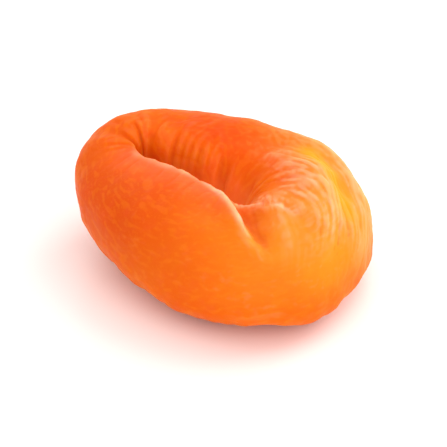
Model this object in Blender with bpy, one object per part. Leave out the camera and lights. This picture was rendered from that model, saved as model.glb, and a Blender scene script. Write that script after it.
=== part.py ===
"""A whole dried apricot, stoned and pressed, lying with its hollow upwards.

Metres, +Z up. The origin is on the surface that the fruit lies on, under the middle of its box.
The fruit grew and dried as one piece, so it is one solid. Its skin starts as a round cage of squares.
Each point of the cage is placed by its latitude and its azimuth: latitude runs from the floor of the
hollow, up its wall, over the crest of the rolled rim, down the outside and in under the fruit, and
azimuth runs round the rim. Folds, pleats and shrinkage are then raised along the skin's normals.
"""

import math

import bmesh
import bpy
from mathutils import Vector, noise

MM = 0.001
DEGREE = math.pi / 180

# The plan: an egg whose broad end points to the front right, with a swelling at the stalk end.
LENGTH = 38.9 * MM
WIDTH = 31.3 * MM
EGG = 0.14
LONG_AZIMUTH = -30 * DEGREE
FRONT_SWELL = 2.9 * MM
FRONT_SWELL_AZIMUTH = -80 * DEGREE
FRONT_SWELL_SPREAD = 36 * DEGREE

# The widest line stands higher on the left, where the fruit curls up off the surface.
BELLY_HEIGHT = 7.6 * MM
BELLY_RISE = 2.9 * MM
BELLY_RISE_AZIMUTH = 165 * DEGREE

# Where the fruit rests: the middle of the flat spot, how much skin is pressed flat, and how far the
# reliefs of the underside stay away from it.
REST_CENTRE = Vector((1.0 * MM, -1.0 * MM, 0.0))
REST_SPOT_DEPTH = 0.25 * MM
REST_CALM_START = 6.0 * MM
REST_CALM_END = 12.0 * MM

# The latitudes of the wall's foot, the rim's crest and the widest line, and the squares along a cage edge.
WALL_FOOT = 18 * DEGREE
CREST = 62 * DEGREE
EQUATOR = 108 * DEGREE
UNDERSIDE_BLEND = 23 * DEGREE
CAGE_SQUARES = 30

# The hollow that the stone was pressed out of: a narrow mouth that runs from front right to back left.
HOLLOW_CENTRE = Vector((-3.5 * MM, 0.4 * MM, 0.0))
HOLLOW_HALF_LENGTH = 8.0 * MM
HOLLOW_HALF_WIDTH = 1.2 * MM
HOLLOW_AZIMUTH = -35 * DEGREE
HOLLOW_FLOOR = 6.9 * MM
HOLLOW_FLOOR_DIP = 0.9 * MM
HOLLOW_END_RISE = 3.3 * MM

# The rolled rim, by azimuth: the crest's height, how far out it lies between the hollow and the widest
# line, how square its inner shoulder is (2 is round), and how far the lip leans over the hollow.
RIM = (
    (-165 * DEGREE, 15.0 * MM, 0.28, 2.2, 0.7 * MM),
    (-120 * DEGREE, 14.9 * MM, 0.24, 2.2, 0.9 * MM),
    (-88 * DEGREE, 13.9 * MM, 0.22, 2.2, 0.7 * MM),
    (-60 * DEGREE, 13.0 * MM, 0.26, 2.2, 0.0 * MM),
    (-25 * DEGREE, 14.9 * MM, 0.55, 2.2, 0.0 * MM),
    (20 * DEGREE, 15.3 * MM, 0.62, 2.4, 0.0 * MM),
    (70 * DEGREE, 16.7 * MM, 0.38, 3.6, 0.0 * MM),
    (115 * DEGREE, 16.9 * MM, 0.32, 3.8, 0.0 * MM),
    (155 * DEGREE, 15.9 * MM, 0.32, 2.8, 0.3 * MM),
)
RIM_BLEND = 26 * DEGREE
LIP_LATITUDE = 52 * DEGREE
LIP_SPREAD = 16 * DEGREE
OUTER_SQUARENESS = 2.15
UNDERSIDE_SQUARENESS = 2.6

# The crease at the stalk end, seen from above: a wedge that narrows down the front between a lip that
# stands over it on its left and the soft edge of the right lobe, with pleats that fan out in it. Its
# start, full, fade and end are shares of the way from its top to its foot; the rest is off the hollow.
CREASE_TOP = Vector((1.5 * MM, -6.2 * MM, 0.0))
CREASE_FOOT = Vector((5.6 * MM, -16.6 * MM, 0.0))
CREASE_START = -0.1
CREASE_FULL = 0.25
CREASE_FADE = 0.7
CREASE_END = 1.0
CREASE_OFF_THE_HOLLOW = 0.2
CREASE_DEPTH = 1.8 * MM
CREASE_STEEPNESS = 0.45
CREASE_TOP_WIDTH = 4.8 * MM
CREASE_FOOT_WIDTH = 2.8 * MM
LIP_HEIGHT = 0.9 * MM
LIP_PLACE = -1.7 * MM
LIP_WIDTH = 1.2 * MM
LIP_FACE = 1.1 * MM
EDGE_HEIGHT = 0.5 * MM
EDGE_WIDTH = 1.1 * MM
FAN_HEIGHT = 0.12 * MM
FAN_PLEATS = 2
FAN_START = 0.05
FAN_FULL = 0.30
FAN_NARROWEST = 1.5 * MM
FAN_WIDEST = 3.2 * MM

# The second ridge on the right lobe: a crescent groove parts it from the outer rim.
FOLD_AZIMUTH = 0 * DEGREE
FOLD_SPREAD = 30 * DEGREE
FOLD_PLACE = 0.62
FOLD_SLANT = 0.24
FOLD_WIDTH = 0.065
FOLD_DEPTH = 1.3 * MM
RIDGE_HEIGHT = 0.5 * MM
RIDGE_PLACE = 0.15

# The furrow along the underside, from the crease to the far end.
SUTURE_DEPTH = 0.35 * MM
SUTURE_WIDTH = 1.2 * MM

# Shrinkage: long soft swells, pleats that run from the hollow out over the rim, and small dents.
SWELL_SIZE = 10.0 * MM
SWELL_HEIGHT = 0.45 * MM
PLEAT_FINENESS = 8.3
PLEAT_STRETCH = 1.9
PLEAT_HEIGHT = 0.55 * MM
PLEAT_PLACE = 0.38
PLEAT_REACH = 0.24
PLEAT_ON_THE_OUTSIDE = 0.35
PLEAT_ROOM = 4.0 * MM
DENT_SIZE = 4.1 * MM
DENT_HEIGHT = 0.25 * MM
DENT_SEED = Vector((7, 3, 1))

# How often, and how far each time, a point of the skin moves towards the middle of its neighbours.
RELAX_STEPS = 3
RELAX_SHARE = 0.5

FLESH_COLOR = (0.98, 0.27, 0.02, 1.0)
FLESH_ROUGHNESS = 0.42


def smoothstep(low, high, value):
    t = min(1.0, max(0.0, (value - low) / (high - low)))
    return t * t * (3 - 2 * t)


def bump(value, centre, width):
    return math.exp(-(((value - centre) / width) ** 2))


def turn_between(angle, other):
    """The shorter turn from one azimuth to another, in radians."""
    return (angle - other + math.pi) % (2 * math.pi) - math.pi


def along_and_across(azimuth):
    along = Vector((math.cos(azimuth), math.sin(azimuth), 0))
    return along, Vector((-along.y, along.x, 0))


def rim_at(azimuth):
    """The rim's crest height, crest place, shoulder and lean at an azimuth, blended from the rows of RIM."""
    azimuths, *columns = zip(*RIM)
    weights = [bump(turn_between(azimuth, other), 0, RIM_BLEND) for other in azimuths]
    return [sum(w * value for w, value in zip(weights, column)) / sum(weights) for column in columns]


def outline_point(azimuth):
    """The widest line of the fruit, seen from above."""
    along, across = along_and_across(LONG_AZIMUTH)
    turn = azimuth - LONG_AZIMUTH
    half_width = WIDTH / 2 * (1 + EGG * math.cos(turn))
    egg = along * LENGTH / 2 * math.cos(turn) + across * half_width * math.sin(turn)
    swell = FRONT_SWELL * bump(turn_between(azimuth, FRONT_SWELL_AZIMUTH), 0, FRONT_SWELL_SPREAD)
    return egg + egg.normalized() * swell


def mouth_point(azimuth):
    """The foot of the hollow's wall, seen from above."""
    along, across = along_and_across(HOLLOW_AZIMUTH)
    turn = azimuth - HOLLOW_AZIMUTH
    return (
        HOLLOW_CENTRE
        + along * HOLLOW_HALF_LENGTH * math.cos(turn)
        + across * HOLLOW_HALF_WIDTH * math.sin(turn)
    )


def quarter_turn(latitude, start, end):
    return math.pi / 2 * (latitude - start) / (end - start)


def skin_point(latitude, azimuth):
    """The smooth fruit: latitude 0 is the middle of the hollow's floor, pi the middle of the underside."""
    crest, place, shoulder, lean = rim_at(azimuth)
    mouth = mouth_point(azimuth)
    outline = outline_point(azimuth)
    foot = HOLLOW_FLOOR + HOLLOW_END_RISE * math.cos(azimuth - HOLLOW_AZIMUTH) ** 4
    belly = BELLY_HEIGHT + BELLY_RISE * math.cos(azimuth - BELLY_RISE_AZIMUTH)
    if latitude < WALL_FOOT:
        share = latitude / WALL_FOOT
        floor = HOLLOW_FLOOR - HOLLOW_FLOOR_DIP
        point = HOLLOW_CENTRE.lerp(mouth, share)
        point.z = floor + (foot - floor) * share**2
    elif latitude < CREST:
        turn = quarter_turn(latitude, WALL_FOOT, CREST)
        point = mouth.lerp(outline, place * (1 - math.cos(turn) ** (2 / shoulder)))
        point.z = foot + (crest - foot) * math.sin(turn) ** (2 / shoulder)
    elif latitude < EQUATOR:
        turn = quarter_turn(latitude, CREST, EQUATOR)
        point = mouth.lerp(outline, place + (1 - place) * math.sin(turn) ** (2 / OUTER_SQUARENESS))
        point.z = belly + (crest - belly) * math.cos(turn) ** (2 / OUTER_SQUARENESS)
    else:
        turn = quarter_turn(latitude, EQUATOR, math.pi)
        point = REST_CENTRE.lerp(outline, math.cos(turn) ** (2 / UNDERSIDE_SQUARENESS))
        point.z = belly * (1 - math.sin(turn) ** (2 / UNDERSIDE_SQUARENESS))
    point -= (outline - mouth).normalized() * lean * bump(latitude, LIP_LATITUDE, LIP_SPREAD)
    return point


def rim_share(latitude):
    """How far out a point of the upper side is: 0 at the foot of the hollow's wall, 1 at the widest line."""
    return min(1.0, max(0.0, (latitude - WALL_FOOT) / (EQUATOR - WALL_FOOT)))


def calm(point, latitude):
    """How much relief a point takes: none on the resting spot, and all of it elsewhere."""
    if latitude < EQUATOR:
        return 1.0
    reach = math.hypot(point.x - REST_CENTRE.x, point.y - REST_CENTRE.y)
    return smoothstep(REST_CALM_START, REST_CALM_END, reach)


def crease_relief(point, latitude, azimuth):
    """The wedge at the stalk end, its lip on the left, its soft edge on the right and the fan in it."""
    down = CREASE_FOOT - CREASE_TOP
    from_top = Vector((point.x, point.y, 0)) - CREASE_TOP
    way = from_top.dot(down) / down.length_squared
    aside = from_top.dot(Vector((-down.y, down.x, 0)).normalized())
    reach = smoothstep(CREASE_START, CREASE_FULL, way) * (1 - smoothstep(CREASE_FADE, CREASE_END, way))
    reach *= smoothstep(0, CREASE_OFF_THE_HOLLOW, rim_share(latitude))
    reach *= 1 - smoothstep(EQUATOR, EQUATOR + UNDERSIDE_BLEND, latitude)
    width = CREASE_TOP_WIDTH + (CREASE_FOOT_WIDTH - CREASE_TOP_WIDTH) * min(1.0, max(0.0, way))
    wide_enough = smoothstep(FAN_NARROWEST, FAN_WIDEST, width)
    lip = LIP_HEIGHT * bump(aside, LIP_PLACE, LIP_WIDTH)
    edge = EDGE_HEIGHT * bump(aside, width, EDGE_WIDTH) * wide_enough
    inside = 1 - smoothstep(0, width, aside) if aside > 0 else 1 - smoothstep(0, LIP_FACE, -aside)
    pleat = math.sin(2 * math.pi * FAN_PLEATS * min(1.0, max(0.0, aside / width)))
    fan = FAN_HEIGHT * pleat * wide_enough * smoothstep(FAN_START, FAN_FULL, way)
    return reach * (lip + edge + fan - min(CREASE_DEPTH, CREASE_STEEPNESS * width) * inside)


def fold_relief(point, latitude, azimuth):
    """The second ridge on the right lobe, and the groove outside it."""
    share = rim_share(latitude)
    turn = turn_between(azimuth, FOLD_AZIMUTH)
    place = FOLD_PLACE - FOLD_SLANT * turn
    groove = FOLD_DEPTH * bump(share, place, FOLD_WIDTH)
    ridge = RIDGE_HEIGHT * bump(share, place - RIDGE_PLACE, FOLD_WIDTH)
    return bump(turn, 0, FOLD_SPREAD) * (ridge - groove)


def suture_relief(point, latitude, azimuth):
    """The furrow of the underside."""
    along = CREASE_FOOT.normalized()
    aside = Vector((point.x, point.y, 0)).cross(along).z
    under = smoothstep(EQUATOR, EQUATOR + UNDERSIDE_BLEND, latitude)
    return -SUTURE_DEPTH * under * bump(aside, 0, SUTURE_WIDTH)


def swell_relief(point, latitude, azimuth):
    return SWELL_HEIGHT * noise.noise(point / SWELL_SIZE)


def pleat_relief(point, latitude, azimuth):
    """Pleats that fan out of the hollow and cross the rim, and small dents all over."""
    ring = Vector((math.cos(azimuth), math.sin(azimuth), 0)) * PLEAT_FINENESS
    pleat = noise.noise(ring + Vector((0, 0, latitude * PLEAT_STRETCH)))
    near_hollow = bump(rim_share(latitude), PLEAT_PLACE, PLEAT_REACH)
    strength = PLEAT_ON_THE_OUTSIDE + (1 - PLEAT_ON_THE_OUTSIDE) * near_hollow
    mouth = mouth_point(azimuth)
    strength *= smoothstep(0, PLEAT_ROOM, math.hypot(point.x - mouth.x, point.y - mouth.y))
    dent = noise.noise(point / DENT_SIZE + DENT_SEED)
    return PLEAT_HEIGHT * pleat * strength + DENT_HEIGHT * dent


RELIEFS = (crease_relief, fold_relief, suture_relief, swell_relief, pleat_relief)


def round_cage():
    """A ball of even squares: a cube cut into squares, each face bulged out to the ball."""
    cage = bmesh.new()
    bmesh.ops.create_cube(cage, size=2)
    bmesh.ops.subdivide_edges(cage, edges=cage.edges[:], cuts=CAGE_SQUARES - 1, use_grid_fill=True)
    for vert in cage.verts:
        vert.co = Vector([math.tan(c * math.pi / 4) for c in vert.co]).normalized()
    return cage


def relax(cage):
    """Evens out the skin where folds cross its squares on the slant."""
    for _ in range(RELAX_STEPS):
        bmesh.ops.smooth_vert(
            cage, verts=cage.verts[:], factor=RELAX_SHARE, use_axis_x=True, use_axis_y=True, use_axis_z=True
        )


def rest_flat(cage):
    """Presses the lowest skin flat and sets the fruit on the origin, centred in its box."""
    floor = min(vert.co.z for vert in cage.verts) + REST_SPOT_DEPTH
    for vert in cage.verts:
        vert.co.z = max(vert.co.z, floor) - floor
    middle = Vector()
    for axis in (0, 1):
        places = [vert.co[axis] for vert in cage.verts]
        middle[axis] = (min(places) + max(places)) / 2
    for vert in cage.verts:
        vert.co -= middle


def apricot_mesh():
    cage = round_cage()
    places = {}
    for vert in cage.verts:
        latitude = math.acos(max(-1.0, min(1.0, vert.co.z)))
        azimuth = math.atan2(vert.co.y, vert.co.x)
        places[vert] = (latitude, azimuth)
        vert.co = skin_point(latitude, azimuth)
    cage.normal_update()
    for vert, (latitude, azimuth) in places.items():
        height = sum(relief(vert.co, latitude, azimuth) for relief in RELIEFS)
        vert.co += vert.normal * height * calm(vert.co, latitude)
    relax(cage)
    rest_flat(cage)
    mesh = bpy.data.meshes.new("dried_apricot")
    cage.to_mesh(mesh)
    cage.free()
    mesh.shade_smooth()
    return mesh


def flesh_material():
    material = bpy.data.materials.new("apricot_flesh")
    material.use_nodes = True
    shader = material.node_tree.nodes["Principled BSDF"]
    shader.inputs["Base Color"].default_value = FLESH_COLOR
    shader.inputs["Roughness"].default_value = FLESH_ROUGHNESS
    return material


def main():
    for obj in list(bpy.data.objects):
        bpy.data.objects.remove(obj)
    collection = bpy.data.collections.new("dried apricot")
    bpy.context.scene.collection.children.link(collection)
    fruit = bpy.data.objects.new("dried_apricot", apricot_mesh())
    fruit.data.materials.append(flesh_material())
    collection.objects.link(fruit)


main()
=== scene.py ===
"""The looks of a whole dried apricot: its finely wrinkled skin, a white floor, soft light and a camera.

Metres, +Z up. The fruit keeps the place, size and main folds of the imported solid, and lies on z = 0.
"""

import math

import bpy
import numpy as np
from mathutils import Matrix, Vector, noise


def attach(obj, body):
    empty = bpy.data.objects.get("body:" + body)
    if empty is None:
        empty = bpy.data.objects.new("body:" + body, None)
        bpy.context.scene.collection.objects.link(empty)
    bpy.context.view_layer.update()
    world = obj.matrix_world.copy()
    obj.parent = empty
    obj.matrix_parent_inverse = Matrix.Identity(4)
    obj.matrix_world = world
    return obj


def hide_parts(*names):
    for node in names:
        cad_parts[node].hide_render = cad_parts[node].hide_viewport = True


MM = 0.001
DEGREE = math.pi / 180

# The noise that makes lines and streaks waver is the same on every run.
NOISE_SEED = 7
noise.seed_set(NOISE_SEED)


def spot(x, y):
    """A place seen from above, from its millimetres to the right and to the back."""
    return Vector((x * MM, y * MM, 0.0))


# The skin's mesh: how close its points are, and how much the solid's facets are softened.
WELD = 0.01 * MM
FACET_LEVELS = 2
SKIN_SPACING = 0.216 * MM
SOFTEN_FACTOR = 0.5
SOFTEN_STEPS = 4

# The skin's edges, sharpened: over what reach a ridge is told from its surroundings, and how far it moves.
SHARPEN_STEPS = 40
SHARPEN = 0.55
SHARPEN_MOST = 0.16 * MM

# The fruit's radius seen from above, on the mean and at the flank. It turns a way round into a length.
MEAN_RADIUS = 15 * MM
FLANK_RADIUS = 17 * MM

# How steeply the skin rises out of its creases.
PUCKER = 2.6

# The slit that the stone was pressed out of, seen from above: the middle of its mouth, half the length of
# the line that it lies along, the way it points, and the way to its near side.
SLIT_MIDDLE = spot(-3.85, 2.6)
SLIT_HALF_LENGTH = 6.8 * MM
SLIT_AZIMUTH = -35 * DEGREE
SLIT_WAY = Vector((math.cos(SLIT_AZIMUTH), math.sin(SLIT_AZIMUTH), 0.0))
SLIT_NEAR = Vector((SLIT_WAY.y, -SLIT_WAY.x, 0.0))

# The wedge at the stalk end, seen from above: where it starts and ends, its ways down and to its right.
WEDGE_TOP = spot(1.15, -4.0)
WEDGE_FOOT = spot(5.25, -14.4)
WEDGE_TOP_WIDTH = 4.8 * MM
WEDGE_FOOT_WIDTH = 2.8 * MM
WEDGE_DOWN = WEDGE_FOOT - WEDGE_TOP
WEDGE_RIGHT = Vector((-WEDGE_DOWN.y, WEDGE_DOWN.x, 0.0)).normalized()

# A name that ends in PLACE or LAYER says where in the noise a pattern is read, so that no two are alike. One
# that ends in VARIES holds a mean strength and how much the noise changes it, and from here on, any other
# pair of numbers says where something starts and where it is whole.

# The lip: a thin edge that stands along the near side of the slit and on down the wedge's left side.
LIP_ASIDE = 2.1 * MM
LIP_ALONG_THE_WEDGE = -1.15 * MM
LIP_SLIT_SHARES = (-1.0, 0.0, 0.85)
LIP_WEDGE_SHARES = (0.05, 0.4, 0.75)
LIP_START = (0.0, 0.15)
LIP_END = (0.8, 1.0)
LIP_FACING = (0.1, 0.5)
LIP_HEIGHT = 0.38 * MM
LIP_WIDTH = 0.40 * MM

# How the lip's strength varies and over what length, and how far its edge wavers.
LIP_VARIES = (0.85, 0.5)
LIP_WAVE = 1.6 * MM
LIP_WAVER = 2.6 * MM
LIP_WAVER_REACH = 0.28 * MM

# The pleated saddle between the slit and the wedge, seen from above, and the short ticks that cross it.
SADDLE = (spot(2.0, -3.3), spot(4.1, -4.0), spot(6.3, -5.9), spot(8.7, -7.1))
SADDLE_WIDTH = 0.95 * MM
TICK_SIZE = 0.62 * MM
TICK_STRETCH = 3
TICK_LAYER = 6.0
TICK_FACING = (0.0, 0.5)
TICK_HEIGHT = 0.13 * MM

# The wedge's right border, seen from above.
BORDER = (spot(6.3, -6.6), spot(7.3, -9.5), spot(7.9, -11.4), spot(8.2, -13.0))
BORDER_START = (0.0, 0.1)
BORDER_END = (0.8, 1.0)
BORDER_VARIES = (0.7, 1.0)
BORDER_PLACE = Vector((0, 4, 4))
BORDER_WIDTH = 0.42 * MM
BORDER_HEIGHT = 0.09 * MM

# The right lobe, seen from above: the crescent groove, which carries a painted glow, and the outer rim beyond
# it.
CRESCENT = (spot(10.6, 5.0), spot(13.0, 2.0), spot(14.6, -1.4), spot(15.4, -4.2))
CRESCENT_WIDTH = 1.45 * MM
# The outer rim carries a painted highlight.
OUTER_RIM = (spot(8.6, 11.0), spot(12.6, 8.6), spot(16.2, 4.6), spot(18.2, 0.0), spot(18.4, -4.0),
             spot(17.4, -7.5))
OUTER_RIM_WIDTH = 1.7 * MM

# Folds that run down the slit's far wall: their size along the slit and how far from its line they are.
WALL_FOLD_SIZE = 1.9 * MM
WALL_FOLD_TURNS = 2.2
WALL_FOLD_PLACE = Vector((6, 3, 9))
WALL_FOLD_HEIGHT = 0.55 * MM
WALL_SIDE = (-0.3, 0.4)
WALL_MIDDLE = 2.1 * MM
WALL_REACH = 1.3 * MM
WALL_RISE = (5 * MM, 9 * MM)

# Fine pleats that run out of the slit over the rim.
PLEAT_SIZE = 1.2 * MM
PLEAT_TURNS = 3.4
PLEAT_LENGTH = 6.0 * MM
PLEAT_HEIGHT = 0.20 * MM
PLEAT_START = 1.0 * MM
PLEAT_RIM = 3.2 * MM
PLEAT_END = 8.5 * MM
PLEAT_LEFT_OVER = 0.15
PLEAT_VARIES = (0.55, 0.9)
PLEAT_PATCH = 6.0 * MM
PLEAT_PLACE = Vector((3, 1, 4))
PLEAT_FACING = (-0.3, 0.3)

# The right lobe and its fine folds, which run side by side the way the slit points and bend with the rim.
LOBE_AZIMUTH = -6 * DEGREE
LOBE_SPREAD = 38 * DEGREE
LOBE_DISTANCE = (4 * MM, 7 * MM)
FOLD_AZIMUTH = -42 * DEGREE
FOLD_BEND = 0.025 / MM
FOLD_MIDDLE = 9.0 * MM
FOLD_DROP = 0.8
FOLD_SIZE = 1.15 * MM
FOLD_LENGTH = 6.0 * MM
FOLD_LAYER = 5.0
FOLD_FACING = (0.1, 0.5)
FOLD_HEIGHT = 0.15 * MM
FOLD_WANDER = 5.0 * MM
FOLD_WANDER_REACH = 0.7 * MM

# Narrow pleats that fan out down the wedge, in shares of its length and of its width.
FAN_PLEATS = 5.0
FAN_BENDS = 1.6
FAN_TOP = (0.0, 0.2)
FAN_FOOT = (0.6, 0.85)
FAN_LEFT = (-0.1, 0.1)
FAN_RIGHT = (0.9, 1.2)
FAN_PLACE = Vector((7, 1, 3))
FAN_HEIGHT = 0.12 * MM

# Crepe: the skin's finest crumple, drawn out along the fruit.
CREPE_SIZE = 0.75 * MM
CREPE_STRETCH = 2.2
CREPE_HEIGHT = 0.032 * MM

# Soft dents all over: the size and the height of each kind.
DENT_SIZES = ((4.2 * MM, 0.16 * MM), (2.0 * MM, 0.07 * MM), (0.95 * MM, 0.03 * MM))
DENT_PLACE = Vector((5, 8, 2))

# Long wrinkles in patches on the flanks, and wrinkles that run in from all sides on the underside.
WRINKLE_SIZE = 1.5 * MM
WRINKLE_STRETCH = 3.6
WRINKLE_PLACE = Vector((2, 7, 7))
WRINKLE_HEIGHT = 0.10 * MM
WRINKLE_WANDER = 5 * MM
WRINKLE_WANDER_REACH = 1.2 * MM
WRINKLE_PATCH = 8 * MM
WRINKLE_PATCH_PLACE = Vector((1, 6, 1))
WRINKLE_PATCH_EDGE = (-0.1, 0.45)
FLANK_STEEPNESS = 1.6
FLANK_EDGE = (0.0, 0.5)
UNDERSIDE_TURNS = 5.0
UNDERSIDE_LENGTH = 7 * MM
UNDERSIDE_PLACE = Vector((4, 4, 8))
UNDERSIDE_FACING = (0.2, 0.6)
UNDERSIDE_WRINKLE = 0.21 * MM

# Where the fruit rests, its skin stays pressed flat: seen from above, and a little way up the flank.
REST_MIDDLE = spot(2.0, 1.2)
REST_CALM = (6.4 * MM, 10.0 * MM)
REST_HEIGHT = 0.3 * MM
REST_STEEPNESS = 3

# Ridges and creases as the finish reads them: the steps of their surroundings and of softening, and the
# height of a full ridge.
FINE_RIDGE = (10, 2, 0.035 * MM)
BROAD_RIDGE = (90, 4, 0.30 * MM)

# Streaks of colour: they follow the folds on the right lobe and run round the fruit, shorter, elsewhere.
STREAK_SIZE = 0.6 * MM
STREAK_LENGTH = 3.2 * MM
STREAK_LAYER = 3.0
SHORT_STREAK = 1.5 * MM
STREAK_WARP = 0.8
STREAK_CONTRAST = 0.9

# Where the colours lie: heights, distances from the slit, and azimuths with how far they spread.
UPPER_SKIN = (9 * MM, 12 * MM)
FLANK_SKIN = (3 * MM, 10 * MM)
# The painted highlight on the outer rim starts at these heights.
RIM_SKIN = (4 * MM, 10 * MM)
# Painted light inside the slit, which makes its shade paler: distances from the slit, heights, and how far
# the skin faces up.
DEEP_DISTANCE = (1.6 * MM, 3.4 * MM)
DEEP_SKIN = (8 * MM, 14 * MM)
DEEP_FACING = (-0.6, -0.2)
# The painted glow of the thin outer flesh: distances from the slit, its azimuth and spread.
THIN_DISTANCE = (5 * MM, 11 * MM)
THIN_AZIMUTH = -24 * DEGREE
THIN_SPREAD = 70 * DEGREE
# Painted shade on the left side, away from the key light: its distances from the slit, azimuth and spread.
LEFT_SHADE_DISTANCE = (2 * MM, 8 * MM)
LEFT_SHADE_AZIMUTH = 190 * DEGREE
LEFT_SHADE_SPREAD = 50 * DEGREE
# A painted shadow on the far lobe behind the slit: its middle seen from above, its reach, and its distances
# from the slit.
FAR_LOBE_SHADOW_MIDDLE = spot(-1.5, 8.0)
FAR_LOBE_SHADOW_REACH = 7.0 * MM
FAR_LOBE_SHADOW_DISTANCE = (2 * MM, 5 * MM)

# The lip's edge, with a painted highlight, and the band of painted sheen beside it, in shares of the lip's
# length.
PINK_START = (0.1, 0.6)
PINK_END = (0.85, 1.0)
PINK_LEAST = 0.45
PINK_VARIES = (0.8, 0.6)
PINK_WIDTH = 1.7 * LIP_WIDTH
PINK_NARROWING = 0.6 * LIP_WIDTH
SHEEN_BAND_SIDE = (-0.2, 0.5)
SHEEN_BAND_ASIDE = 0.8 * MM
SHEEN_BAND_WIDTH = 2.6 * MM
SHEEN_BAND_END = (0.35, 0.8)

# The wedge's amber flank, and how much pale sugar bloom and painted sheen its border and the right lobe carry
# next to the saddle.
WEDGE_WIDTH = 3 * MM
BLOOM_SHEEN_BORDER = 0.3
BLOOM_SHEEN_BORDER_WIDTH = 0.9 * MM
BLOOM_SHEEN_LOBE = 0.85

# The flesh's own patterns: the size of their patches, how deep the grain is, and how far light travels.
CLOUD_SIZE = 7 * MM
MOTTLE_SIZE = 1.6 * MM
SPECK_SIZE = 0.35 * MM
GRAIN_SIZE = 0.5 * MM
PORE_SIZE = 0.28 * MM
GRAIN_DEPTH = 0.05 * MM
LIGHT_REACH = 3.2 * MM

# A Mix node's sockets for colours: the first colour, the second, and the result.
MIX_FIRST = 6
MIX_SECOND = 7
MIX_RESULT = 2

# The lights: name, place, size, watts and colour. The world lights the shadows.
LIGHTS = (
    ("key", (0.20, 0.14, 0.26), 0.30, 0.52, (1.0, 0.98, 0.95)),
    ("rim", (0.24, 0.22, 0.12), 0.08, 0.10, (1.0, 0.98, 0.94)),
    ("fill", (0.16, -0.30, 0.18), 0.30, 0.50, (1.0, 0.99, 0.96)),
)
WORLD_COLOR = (1.0, 0.92, 0.90, 1.0)
WORLD_STRENGTH = 1.2

# The floor's side.
FLOOR_SIZE = 3.0

# The camera's lens and film in its own millimetres, what it looks at, from how high up and how far.
LENS = 270
FILM_WIDTH = 36
CAMERA_AIM = Vector((0.0, 0.0, 7.4 * MM))
CAMERA_ELEVATION = 32 * DEGREE
CAMERA_DISTANCE = 416 * MM


def linear(red, green, blue):
    """A colour as light adds up, from the red, green and blue of a screen, 0 to 255."""
    shares = [channel / 255 for channel in (red, green, blue)]
    light = [share / 12.92 if share <= 0.04045 else ((share + 0.055) / 1.055) ** 2.4 for share in shares]
    return (*light, 1.0)


# The skin's colours, some of them painted light and shade, and the floor's.
FLESH = linear(214, 90, 3)
# Amber: random clouds, streaks, specks and the wedge, and the painted glow of the thin outer flesh.
AMBER = linear(226, 136, 26)
# Painted shade for the creases: a darker, redder orange.
CREASE_SHADE = linear(212, 84, 8)
# Painted light inside the slit: a paler orange that lightens its shade.
SLIT_PAINTED_LIGHT = linear(248, 146, 74)
# Painted shade: a darker, redder orange for the left side, away from the key light.
LEFT_SHADE = linear(198, 68, 10)
# Painted shadow on the far lobe: a darker, redder orange.
FAR_LOBE_SHADOW = linear(204, 68, 1)
# A pinker orange: random blush in the mottle, and painted sheen in the band beside the lip.
BLUSH_AND_SHEEN = linear(220, 94, 52)
# Pale sugar bloom on the ridges, partly a painted sheen.
BLOOM_AND_SHEEN = linear(232, 172, 134)
# Painted highlight on the lip's edge.
LIP_HIGHLIGHT = linear(242, 174, 136)
# Painted glow in the crescent groove, as of light through the thin flesh.
CRESCENT_GLOW = linear(220, 146, 8)
# Painted highlight and glow along the outer rim.
RIM_HIGHLIGHT = linear(212, 156, 98)
WHITE = (0.96, 0.90, 0.885, 1.0)


# How strong something is at a place.
def smoothstep(pair, value):
    """0 below the pair's first number, 1 above its second, and a smooth rise between them."""
    low, high = pair
    share = min(1.0, max(0.0, (value - low) / (high - low)))
    return share * share * (3 - 2 * share)


def window(start, end, value):
    """1 between the two pairs, rising over the start and falling over the end."""
    return smoothstep(start, value) * (1 - smoothstep(end, value))


def bump(value, width):
    """1 at 0, fading to nothing about two widths away."""
    return math.exp(-((value / width) ** 2))


def varied(varies, place):
    """A strength that the noise moves about its mean."""
    mean, change = varies
    return mean + change * noise.noise(place)


def puckered(place):
    """Sharp creases between broad rolls, from -0.5 in the creases to 0.5 on the rolls."""
    return min(1.0, PUCKER * abs(noise.noise(place))) - 0.5


# Places on the fruit.
def from_above(point):
    return Vector((point.x, point.y, 0.0))


def azimuth_of(point):
    return math.atan2(point.y, point.x)


def turned_from(point, azimuth):
    """The shorter turn from the azimuth to the point, in radians."""
    return (azimuth_of(point) - azimuth + math.pi) % (2 * math.pi) - math.pi


def on_a_circle(azimuth, radius):
    """A place for the noise that comes round to itself as the azimuth does."""
    return Vector((math.cos(azimuth), math.sin(azimuth), 0.0)) * radius


def from_the_slit(point):
    """The slit's nearest point, the way out of it, and the distance, all seen from above."""
    from_middle = from_above(point) - SLIT_MIDDLE
    foot = SLIT_WAY * min(SLIT_HALF_LENGTH, max(-SLIT_HALF_LENGTH, from_middle.dot(SLIT_WAY)))
    out = from_middle - foot
    return foot, out.normalized(), out.length


def from_the_line(point, line):
    """How far the point is from a line seen from above, and how far along it its nearest place is, 0 to 1."""
    place = from_above(point)
    nearest = (1.0, 0.0)
    for index, (start, end) in enumerate(zip(line, line[1:])):
        run = end - start
        share = min(1.0, max(0.0, (place - start).dot(run) / run.length_squared))
        nearest = min(nearest, ((place - start - run * share).length, (index + share) / (len(line) - 1)))
    return nearest


def rounded(line):
    """The line with its corners cut."""
    cut = [line[0]]
    for start, end in zip(line, line[1:]):
        cut += [start.lerp(end, 0.25), start.lerp(end, 0.75)]
    return cut + [line[-1]]


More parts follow.
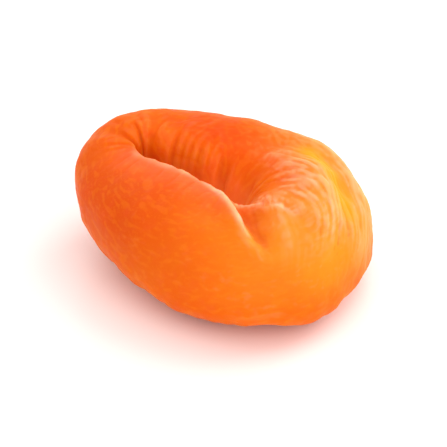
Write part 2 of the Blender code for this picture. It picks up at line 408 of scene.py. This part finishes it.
def lip_line():
    """The lip's edge, seen from above: along the slit, round the corner and down beside the wedge."""
    along_the_slit = [SLIT_WAY * share * SLIT_HALF_LENGTH for share in LIP_SLIT_SHARES]
    line = [SLIT_MIDDLE + foot + SLIT_NEAR * LIP_ASIDE for foot in along_the_slit]
    beside = WEDGE_TOP + WEDGE_RIGHT * LIP_ALONG_THE_WEDGE
    line += [beside + WEDGE_DOWN * share for share in LIP_WEDGE_SHARES]
    return rounded(rounded(line))


LIP_LINE = lip_line()


def from_the_lip(point):
    """As from_the_line says, for the lip, from a point moved a little so that the edge isn't ruled."""
    wavered = point + noise.noise_vector(point / LIP_WAVER) * LIP_WAVER_REACH
    return from_the_line(wavered, LIP_LINE)


def right_lobe(point):
    """1 on the right lobe, fading round it."""
    _, _, distance = from_the_slit(point)
    return bump(turned_from(point, LOBE_AZIMUTH), LOBE_SPREAD) * smoothstep(LOBE_DISTANCE, distance)


def along_the_folds(point):
    """How far along and across the right lobe's folds the point is. Down the flank, they lie level."""
    along = point.x * math.cos(FOLD_AZIMUTH) + point.y * math.sin(FOLD_AZIMUTH)
    across = point.y * math.cos(FOLD_AZIMUTH) - point.x * math.sin(FOLD_AZIMUTH)
    across += FOLD_BEND * (along - FOLD_MIDDLE) ** 2 - FOLD_DROP * point.z
    return along, across + FOLD_WANDER_REACH * noise.noise(point / FOLD_WANDER)


# The reliefs. Each says how far it moves the skin out at a point, where the skin faces along the normal.
def lip_height(point, normal):
    distance, along = from_the_lip(point)
    reach = window(LIP_START, LIP_END, along) * smoothstep(LIP_FACING, normal.z)
    return LIP_HEIGHT * reach * varied(LIP_VARIES, point / LIP_WAVE) * bump(distance, LIP_WIDTH)


def tick_height(point, normal):
    """Short ticks that cross the saddle."""
    distance, _ = from_the_line(point, SADDLE)
    reach = bump(distance, SADDLE_WIDTH) * smoothstep(TICK_FACING, normal.z)
    place = Vector((point.x / TICK_SIZE, point.y / TICK_SIZE / TICK_STRETCH, TICK_LAYER))
    return TICK_HEIGHT * reach * puckered(place)


def border_height(point, normal):
    distance, along = from_the_line(point, BORDER)
    reach = window(BORDER_START, BORDER_END, along) * bump(distance, BORDER_WIDTH)
    return BORDER_HEIGHT * reach * varied(BORDER_VARIES, point / LIP_WAVE + BORDER_PLACE)


def pleat_height(point, normal):
    foot, way, distance = from_the_slit(point)
    place = foot / PLEAT_SIZE + way * PLEAT_TURNS
    place.z = distance / PLEAT_LENGTH
    rising = smoothstep((PLEAT_START, PLEAT_RIM), distance)
    fading = 1 - (1 - PLEAT_LEFT_OVER) * smoothstep((PLEAT_RIM, PLEAT_END), distance)
    strength = rising * fading * varied(PLEAT_VARIES, point / PLEAT_PATCH + PLEAT_PLACE)
    return PLEAT_HEIGHT * strength * puckered(place) * smoothstep(PLEAT_FACING, normal.z)


def wall_height(point, normal):
    """Folds that run down the slit's far wall."""
    foot, way, distance = from_the_slit(point)
    place = foot / WALL_FOLD_SIZE + way * WALL_FOLD_TURNS + WALL_FOLD_PLACE
    reach = smoothstep(WALL_SIDE, way.y) * bump(distance - WALL_MIDDLE, WALL_REACH)
    return WALL_FOLD_HEIGHT * reach * puckered(place) * smoothstep(WALL_RISE, point.z)


def fold_height(point, normal):
    along, across = along_the_folds(point)
    place = Vector((along / FOLD_LENGTH, across / FOLD_SIZE, FOLD_LAYER))
    return FOLD_HEIGHT * right_lobe(point) * puckered(place) * smoothstep(FOLD_FACING, normal.z)


def fan_height(point, normal):
    """Pleats that close up as the wedge narrows."""
    from_top = from_above(point) - WEDGE_TOP
    down = from_top.dot(WEDGE_DOWN) / WEDGE_DOWN.length_squared
    width = WEDGE_TOP_WIDTH + (WEDGE_FOOT_WIDTH - WEDGE_TOP_WIDTH) * min(1.0, max(0.0, down))
    aside = from_top.dot(WEDGE_RIGHT) / width
    reach = window(FAN_TOP, FAN_FOOT, down) * window(FAN_LEFT, FAN_RIGHT, aside)
    return FAN_HEIGHT * reach * puckered(Vector((FAN_PLEATS * aside, FAN_BENDS * down, 0.0)) + FAN_PLACE)


def crepe_height(point, normal):
    place = on_a_circle(azimuth_of(point), MEAN_RADIUS / CREPE_SIZE / CREPE_STRETCH)
    place.z = (math.hypot(point.x, point.y) * abs(normal.z) + point.z) / CREPE_SIZE
    return CREPE_HEIGHT * puckered(place)


def dent_height(point, normal):
    return sum(height * noise.noise(point / size + DENT_PLACE) for size, height in DENT_SIZES)


def wrinkle_height(point, normal):
    """Long wrinkles that lie level on the flanks."""
    wander = WRINKLE_WANDER_REACH * noise.noise(point / WRINKLE_WANDER)
    place = on_a_circle(azimuth_of(point), FLANK_RADIUS / WRINKLE_SIZE / WRINKLE_STRETCH)
    place.z = (point.z + wander) / WRINKLE_SIZE
    on_the_flank = smoothstep(FLANK_EDGE, 1 - abs(normal.z) * FLANK_STEEPNESS)
    patchy = smoothstep(WRINKLE_PATCH_EDGE, noise.noise(point / WRINKLE_PATCH + WRINKLE_PATCH_PLACE))
    return WRINKLE_HEIGHT * on_the_flank * patchy * puckered(place + WRINKLE_PLACE)


def underside_height(point, normal):
    right = point.x - REST_MIDDLE.x
    back = point.y - REST_MIDDLE.y
    place = on_a_circle(math.atan2(back, right), UNDERSIDE_TURNS)
    place.z = math.hypot(right, back) / UNDERSIDE_LENGTH
    return UNDERSIDE_WRINKLE * puckered(place + UNDERSIDE_PLACE) * smoothstep(UNDERSIDE_FACING, -normal.z)


RELIEFS = (lip_height, tick_height, border_height, pleat_height, wall_height, fold_height, fan_height,
           crepe_height, dent_height, wrinkle_height, underside_height)


def rest_calm(point):
    """0 on the resting spot, 1 away from it."""
    radius = math.hypot(point.x - REST_MIDDLE.x, point.y - REST_MIDDLE.y)
    return smoothstep(REST_CALM, radius + max(0.0, point.z - REST_HEIGHT) * REST_STEEPNESS)


# The skin as a mesh.
def read(items, name, width, kind=float):
    """What a mesh says of its points or edges under that name, one row for each of them."""
    values = np.empty(len(items) * width, dtype=kind)
    items.foreach_get(name, values)
    return values.reshape(-1, width)


def store(mesh, name, values):
    """Keeps one number for each point, which the skin's finish reads by that name."""
    attribute = mesh.attributes.new(name, "FLOAT", "POINT")
    attribute.data.foreach_set("value", np.asarray(values, dtype=np.float32))


def neighbour_means(values, edges, steps, strength=0.5):
    """The values after each point has moved towards the mean of its neighbours, a number of times."""
    count = len(values)
    links = np.bincount(edges.ravel(), minlength=count)[:, None]
    for _ in range(steps):
        sums = np.empty_like(values)
        for axis in range(values.shape[1]):
            sums[:, axis] = np.bincount(edges[:, 0], values[edges[:, 1], axis], count)
            sums[:, axis] += np.bincount(edges[:, 1], values[edges[:, 0], axis], count)
        values = values + strength * (sums / links - values)
    return values


def proudness(points, normals, edges, steps):
    """How far each point stands out of its surroundings, which more steps make wider."""
    return ((points - neighbour_means(points, edges, steps)) * normals).sum(axis=1)


def fine_copy(node):
    """A copy of the solid, smooth, in even squares small enough for the wrinkles."""
    bpy.ops.object.select_all(action="DESELECT")
    node.select_set(True)
    bpy.context.view_layer.objects.active = node
    bpy.ops.object.duplicate()
    skin = bpy.context.object
    skin.name = "apricot_skin"
    bpy.ops.object.mode_set(mode="EDIT")
    bpy.ops.mesh.select_all(action="SELECT")
    bpy.ops.mesh.remove_doubles(threshold=WELD)
    bpy.ops.mesh.tris_convert_to_quads(face_threshold=math.pi, shape_threshold=math.pi)
    bpy.ops.object.mode_set(mode="OBJECT")
    rounding = skin.modifiers.new("rounding", "SUBSURF")
    rounding.levels = FACET_LEVELS
    bpy.ops.object.modifier_apply(modifier=rounding.name)
    skin.data.remesh_voxel_size = SKIN_SPACING
    bpy.ops.object.voxel_remesh()
    softening = skin.modifiers.new("softening", "SMOOTH")
    softening.factor = SOFTEN_FACTOR
    softening.iterations = SOFTEN_STEPS
    bpy.ops.object.modifier_apply(modifier=softening.name)
    bpy.ops.object.shade_smooth()
    return skin


def wrinkle(mesh):
    """Sharpens the solid's own folds on the skin and raises the fine ones."""
    points = read(mesh.vertices, "co", 3)
    normals = read(mesh.vertices, "normal", 3)
    edges = read(mesh.edges, "vertices", 2, np.int64)
    sharpened = SHARPEN * proudness(points, normals, edges, SHARPEN_STEPS)
    heights = np.clip(sharpened, -SHARPEN_MOST, SHARPEN_MOST)
    for index, (place, facing) in enumerate(zip(points, normals)):
        point = Vector(place)
        normal = Vector(facing)
        heights[index] += sum(relief(point, normal) for relief in RELIEFS)
        heights[index] *= rest_calm(point)
    points += normals * heights[:, None]
    points[:, 2] = np.maximum(points[:, 2], 0.0)
    mesh.vertices.foreach_set("co", points.ravel())
    mesh.update()


# What the finish reads of each point.
def ridges(points, normals, edges, steps, softening, height):
    """From -1 in the creases to 1 on the ridges."""
    proud = proudness(points, normals, edges, steps)[:, None]
    return np.clip(neighbour_means(proud, edges, softening)[:, 0] / height, -1, 1)


def streak(point, lobe):
    """Thin streaks, from 0 to 1, long where the lobe is 1 and short where it is 0."""
    along, across = along_the_folds(point)
    on_the_lobe = noise.noise(Vector((along / STREAK_LENGTH, across / STREAK_SIZE, STREAK_LAYER)))
    place = on_a_circle(azimuth_of(point), MEAN_RADIUS / SHORT_STREAK)
    place.z = (math.hypot(point.x, point.y) - point.z) / STREAK_SIZE
    place += noise.noise_vector(point / SHORT_STREAK) * STREAK_WARP
    level = 0.5 + STREAK_CONTRAST * (lobe * on_the_lobe + (1 - lobe) * noise.noise(place))
    return min(1.0, max(0.0, level))


def lip_marks(point):
    """The painted highlight on the lip's edge at a point, and the painted sheen on its band by the slit."""
    aside, along = from_the_lip(point)
    _, way, _ = from_the_slit(point)
    # The painted highlight on the lip's edge.
    pink = PINK_LEAST + (1 - PINK_LEAST) * smoothstep(PINK_START, along)
    pink *= (1 - smoothstep(PINK_END, along)) * varied(PINK_VARIES, point / LIP_WAVE)
    pink *= bump(aside, PINK_WIDTH - PINK_NARROWING * along)
    # The band of painted sheen beside the slit.
    band = bump(aside - SHEEN_BAND_ASIDE, SHEEN_BAND_WIDTH) * (1 - smoothstep(SHEEN_BAND_END, along))
    return pink, band * smoothstep(SHEEN_BAND_SIDE, -way.y)


def marks_at(point, upward):
    """The marks of a point by name, from 0 to about 1. Upward is how far the skin faces up there."""
    _, _, distance = from_the_slit(point)
    upper = smoothstep(UPPER_SKIN, point.z)
    flank = smoothstep(FLANK_SKIN, point.z)
    inside = (1 - smoothstep(DEEP_DISTANCE, distance)) * smoothstep(DEEP_FACING, upward)
    # Painted glow where the outer flesh is thin.
    thin = bump(turned_from(point, THIN_AZIMUTH), THIN_SPREAD) * smoothstep(THIN_DISTANCE, distance)
    # Painted shade on the left side, away from the key light.
    left_shade = bump(turned_from(point, LEFT_SHADE_AZIMUTH), LEFT_SHADE_SPREAD) * smoothstep(LEFT_SHADE_DISTANCE, distance)
    from_far_lobe_shadow = math.hypot(point.x - FAR_LOBE_SHADOW_MIDDLE.x, point.y - FAR_LOBE_SHADOW_MIDDLE.y)
    pink, lip_band_sheen = lip_marks(point)
    from_saddle, from_border, from_crescent, from_rim = (
        from_the_line(point, line)[0] for line in (SADDLE, BORDER, CRESCENT, OUTER_RIM))
    lobe = right_lobe(point)
    wedge = bump(from_border, WEDGE_WIDTH)
    bloom_sheen_border = BLOOM_SHEEN_BORDER * bump(from_border, BLOOM_SHEEN_BORDER_WIDTH)
    return {
        # Painted light that lightens the shade inside the slit.
        "slit_painted_light": inside * (1 - smoothstep(DEEP_SKIN, point.z)),
        "thin": flank * thin,
        # Painted highlight on the lip's edge.
        "lip": upper * pink,
        # Painted sheen on the band beside the lip.
        "lip_band_sheen": upper * lip_band_sheen,
        # Pale sugar bloom with painted sheen on the saddle, the wedge's border and the right lobe.
        "bloom_and_sheen": upper * max(bump(from_saddle, SADDLE_WIDTH), bloom_sheen_border, BLOOM_SHEEN_LOBE * lobe),
        # Painted glow in the crescent groove.
        "crescent_glow": upper * bump(from_crescent, CRESCENT_WIDTH),
        # Painted highlight along the outer rim.
        "rim": smoothstep(RIM_SKIN, point.z) * bump(from_rim, OUTER_RIM_WIDTH),
        "streak": streak(point, max(lobe, wedge)),
        "left_shade": flank * left_shade,
        "wedge": upper * wedge,
        # Painted shadow on the far lobe behind the slit.
        "far_lobe_shadow": upper * bump(from_far_lobe_shadow, FAR_LOBE_SHADOW_REACH) * smoothstep(FAR_LOBE_SHADOW_DISTANCE, distance),
    }


def mark(mesh):
    """Keeps what the finish needs to know of each point of the skin."""
    points = read(mesh.vertices, "co", 3)
    normals = read(mesh.vertices, "normal", 3)
    edges = read(mesh.edges, "vertices", 2, np.int64)
    store(mesh, "fine_ridge", ridges(points, normals, edges, *FINE_RIDGE))
    store(mesh, "broad_ridge", ridges(points, normals, edges, *BROAD_RIDGE))
    marks = [marks_at(Vector(place), facing[2]) for place, facing in zip(points, normals)]
    for name in marks[0]:
        store(mesh, name, [of_point[name] for of_point in marks])


# The finishes.
class Field:
    """A value that changes over a surface. An expression on it adds the Math nodes that work it out."""

    def __init__(self, finish, socket):
        self.finish = finish
        self.socket = socket

    def math(self, operation, first, second):
        return self.finish.node("ShaderNodeMath", {"operation": operation}, {0: first, 1: second})

    def __add__(self, other):
        return self.math("ADD", self, other)

    def __radd__(self, other):
        return self.math("ADD", other, self)

    def __rsub__(self, other):
        return self.math("SUBTRACT", other, self)

    def __mul__(self, other):
        return self.math("MULTIPLY", self, other)

    def __rmul__(self, other):
        return self.math("MULTIPLY", other, self)

    def between(self, low, high):
        """0 below low, 1 above high, and a smooth rise between them."""
        sockets = {"Value": self, "From Min": low, "From Max": high}
        return self.finish.node("ShaderNodeMapRange", {"interpolation_type": "SMOOTHSTEP"}, sockets)


class Finish:
    """A material and the nodes that make its look."""

    def __init__(self, name):
        self.material = bpy.data.materials.new(name)
        self.material.use_nodes = True
        self.tree = self.material.node_tree
        self.tree.nodes.clear()

    def node(self, kind, settings, sockets, output=0):
        """Adds a node, its settings first and then the values or links of its sockets."""
        made = self.tree.nodes.new(kind)
        for name, value in settings.items():
            setattr(made, name, value)
        for name, value in sockets.items():
            if isinstance(value, Field):
                self.tree.links.new(value.socket, made.inputs[name])
            else:
                made.inputs[name].default_value = value
        return Field(self, made.outputs[output])

    def mix(self, share, first, second):
        """The first colour where the share is 0 and the second where it is 1."""
        sockets = {"Factor": share, MIX_FIRST: first, MIX_SECOND: second}
        return self.node("ShaderNodeMix", {"data_type": "RGBA"}, sockets, MIX_RESULT)

    def noise(self, place, size, detail=2.0, roughness=0.5):
        """Cloudy noise from 0 to 1 whose patches have that size."""
        sockets = {"Vector": place, "Scale": 1 / size, "Detail": detail, "Roughness": roughness}
        return self.node("ShaderNodeTexNoise", {}, sockets)

    def kept(self, name):
        """A number that the mesh keeps for each of its points."""
        return self.node("ShaderNodeAttribute", {"attribute_name": name}, {}, "Fac")

    def close(self, shader):
        """Sends the shader to the material's output."""
        output = self.tree.nodes.new("ShaderNodeOutputMaterial")
        self.tree.links.new(shader.socket, output.inputs["Surface"])


def flesh_color(flesh, place, mottle, fine):
    """Orange flesh, redder on the left and in the creases, where shade is painted, and yellower and paler
    towards the thin outer rim, where a glow and a highlight are painted.
    """
    broad, slit_painted_light, thin = (flesh.kept(name) for name in ("broad_ridge", "slit_painted_light", "thin"))
    lip, bloom_and_sheen, rim, wedge = (flesh.kept(name) for name in ("lip", "bloom_and_sheen", "rim", "wedge"))
    crescent_glow, streak, left_shade = (flesh.kept(name) for name in ("crescent_glow", "streak", "left_shade"))
    lip_band_sheen, far_lobe_shadow = (flesh.kept(name) for name in ("lip_band_sheen", "far_lobe_shadow"))
    clouds = flesh.noise(place, CLOUD_SIZE, 3.0)
    speck = flesh.noise(place, SPECK_SIZE, 2.0)
    open_skin = (1 - rim) * (1 - wedge * 0.8)
    # How the pale bloom and painted sheen follow the streaks and the fine ridges.
    bloom_sheen_streaks = 0.12 + 0.45 * streak.between(0.35, 0.85) + 0.35 * fine.between(-0.2, 0.8)

    # Each layer's share of what shows, and its colour, from the lowest layer to the top one.
    layers = (
        # Random clouds of amber, and the painted glow of the thin outer flesh.
        (clouds.between(0.35, 0.7) * 0.15 + thin * 0.85, AMBER),
        # Painted shade on the left side.
        (left_shade * 0.7, LEFT_SHADE),
        (mottle.between(0.45, 0.8) * 0.2 * (1 - thin), BLUSH_AND_SHEEN),
        (streak.between(0.45, 0.9) * 0.18, AMBER),
        # Painted sheen on the band beside the lip.
        (lip_band_sheen * 0.75, BLUSH_AND_SHEEN),
        (speck.between(0.5, 0.8) * 0.15, AMBER),
        (wedge * 0.6, AMBER),
        # Painted shadow on the far lobe, patchy with the streaks.
        (far_lobe_shadow * (0.65 + 0.4 * (1 - streak)), FAR_LOBE_SHADOW),
        # Painted shade in the broad and the fine creases.
        ((0 - broad).between(0.1, 0.9) * 0.6 * open_skin, CREASE_SHADE),
        ((0 - fine).between(0.15, 0.9) * 0.4 * open_skin, CREASE_SHADE),
        # Painted light inside the slit.
        (slit_painted_light, SLIT_PAINTED_LIGHT),
        # Pale sugar bloom with painted sheen where the skin is pleated and on the fine ridges.
        (bloom_and_sheen * bloom_sheen_streaks, BLOOM_AND_SHEEN),
        (fine.between(0.3, 1.0) * (0.05 + 0.12 * thin) * (1 - slit_painted_light), BLOOM_AND_SHEEN),
        # Painted glow in the crescent groove.
        (crescent_glow * 0.9, CRESCENT_GLOW),
        # Painted highlight along the outer rim, streaky, weaker in the crescent.
        (rim * (1 - crescent_glow * 0.7) * (0.2 + 0.55 * streak.between(0.3, 0.7)), RIM_HIGHLIGHT),
        # Painted highlight on the lip's edge.
        (lip, LIP_HIGHLIGHT),
    )
    color = FLESH
    for share, tint in layers:
        color = flesh.mix(share, color, tint)
    return color


def apricot_flesh():
    """Translucent flesh under a dull skin with a fine grain and pores."""
    flesh = Finish("apricot_flesh")
    place = flesh.node("ShaderNodeTexCoord", {}, {}, "Object")
    mottle = flesh.noise(place, MOTTLE_SIZE, 3.0, 0.6)
    fine = flesh.kept("fine_ridge")
    grain = flesh.noise(place, GRAIN_SIZE, 3.0, 0.6)
    pore_sockets = {"Vector": place, "Scale": 1 / PORE_SIZE}
    pores = flesh.node("ShaderNodeTexVoronoi", {"feature": "SMOOTH_F1"}, pore_sockets)
    bump_sockets = {"Strength": 0.35, "Distance": GRAIN_DEPTH, "Height": grain * 0.7 + pores * 0.3}
    sockets = {
        "Base Color": flesh_color(flesh, place, mottle, fine),
        "Roughness": 0.36 + 0.16 * mottle + 0.12 * fine.between(0.2, 1.0),
        "Normal": flesh.node("ShaderNodeBump", {}, bump_sockets),
        "IOR": 1.45,
        "Specular IOR Level": 0.06,
        "Subsurface Weight": 1.0,
        "Subsurface Radius": (1.0, 0.34, 0.08),
        "Subsurface Scale": LIGHT_REACH,
    }
    flesh.close(flesh.node("ShaderNodeBsdfPrincipled", {"subsurface_method": "RANDOM_WALK"}, sockets))
    return flesh.material


def white_floor():
    floor = Finish("white_floor")
    floor.close(floor.node("ShaderNodeBsdfPrincipled", {}, {"Base Color": WHITE, "Roughness": 0.35}))
    return floor.material


# The scene.
def make_fruit(node):
    skin = fine_copy(node)
    wrinkle(skin.data)
    mark(skin.data)
    skin.data.materials.clear()
    skin.data.materials.append(apricot_flesh())
    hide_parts(node.name)
    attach(skin, "root")


def make_floor():
    bpy.ops.mesh.primitive_plane_add(size=FLOOR_SIZE, location=(0.0, 0.0, 0.0))
    floor = bpy.context.object
    floor.name = "floor"
    floor.data.materials.append(white_floor())


def place_and_aim(name, data, location, back):
    """Adds a light or a camera at its place, looking the opposite way to back."""
    holder = bpy.data.objects.new(name, data)
    holder.location = location
    holder.rotation_euler = (-back).to_track_quat("-Z", "Y").to_euler()
    bpy.context.scene.collection.objects.link(holder)
    return holder


def make_light():
    """Square soft lights that face the fruit, and a pale world round it."""
    for name, place, size, watts, color in LIGHTS:
        light = bpy.data.lights.new(name, "AREA")
        light.size = size
        light.energy = watts
        light.color = color
        place_and_aim(name, light, place, Vector(place))
    world = bpy.data.worlds.new("studio")
    world.use_nodes = True
    background = world.node_tree.nodes["Background"]
    background.inputs["Color"].default_value = WORLD_COLOR
    background.inputs["Strength"].default_value = WORLD_STRENGTH
    bpy.context.scene.world = world
    bpy.context.scene.view_settings.view_transform = "Standard"


def make_camera():
    """Looks down on the fruit at the photograph's angle."""
    camera = bpy.data.cameras.new("camera")
    camera.lens = LENS
    camera.sensor_width = FILM_WIDTH
    back = Vector((0.0, -math.cos(CAMERA_ELEVATION), math.sin(CAMERA_ELEVATION)))
    bpy.context.scene.camera = place_and_aim("camera", camera, CAMERA_AIM + back * CAMERA_DISTANCE, back)


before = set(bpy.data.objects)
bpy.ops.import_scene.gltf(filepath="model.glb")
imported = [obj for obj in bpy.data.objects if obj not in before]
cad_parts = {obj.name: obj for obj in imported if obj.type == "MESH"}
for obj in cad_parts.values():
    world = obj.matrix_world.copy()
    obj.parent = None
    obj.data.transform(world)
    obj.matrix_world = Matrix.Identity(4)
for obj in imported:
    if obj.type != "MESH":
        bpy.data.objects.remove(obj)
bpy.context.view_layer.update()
make_fruit(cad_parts["dried_apricot"])
make_floor()
make_light()
make_camera()
